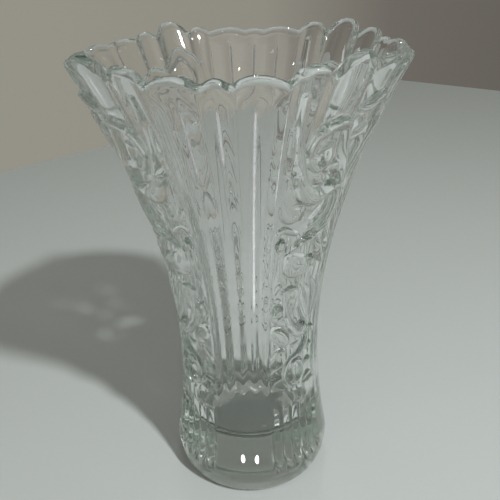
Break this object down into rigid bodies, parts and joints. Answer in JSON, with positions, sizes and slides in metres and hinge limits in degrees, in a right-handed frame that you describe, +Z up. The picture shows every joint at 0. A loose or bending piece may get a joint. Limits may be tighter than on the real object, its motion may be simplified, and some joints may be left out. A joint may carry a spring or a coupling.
{
  "type": "glass vase",
  "caption": "Tall clear pressed-glass flower vase with a bell mouth, a scalloped rim, fluted and scroll panels and a thick solid foot.",
  "frame": {"origin": "centre of the foot, on the surface that the vase stands on", "axes": "+Z up along the axis of the vase; -Y towards the middle of the first fluted panel; +X to the right of it"},
  "size_m": [0.158, 0.1587, 0.2528],
  "materials": {
    "pressed_glass": "clear soda-lime glass, fire polished, with a pale grey-green tint"
  },
  "bodies": {
    "root": {"foot": "pressed_glass", "lower_bowl": "pressed_glass", "upper_bowl": "pressed_glass", "rim": "pressed_glass", "fluted_panel_1": "pressed_glass", "fluted_panel_2": "pressed_glass", "fluted_panel_3": "pressed_glass", "fluted_panel_4": "pressed_glass", "scroll_panel_1": "pressed_glass", "scroll_panel_2": "pressed_glass", "scroll_panel_3": "pressed_glass", "scroll_panel_4": "pressed_glass", "foot_prisms_1": "pressed_glass", "foot_prisms_2": "pressed_glass", "foot_prisms_3": "pressed_glass", "foot_prisms_4": "pressed_glass"}
  },
  "joints": []
}
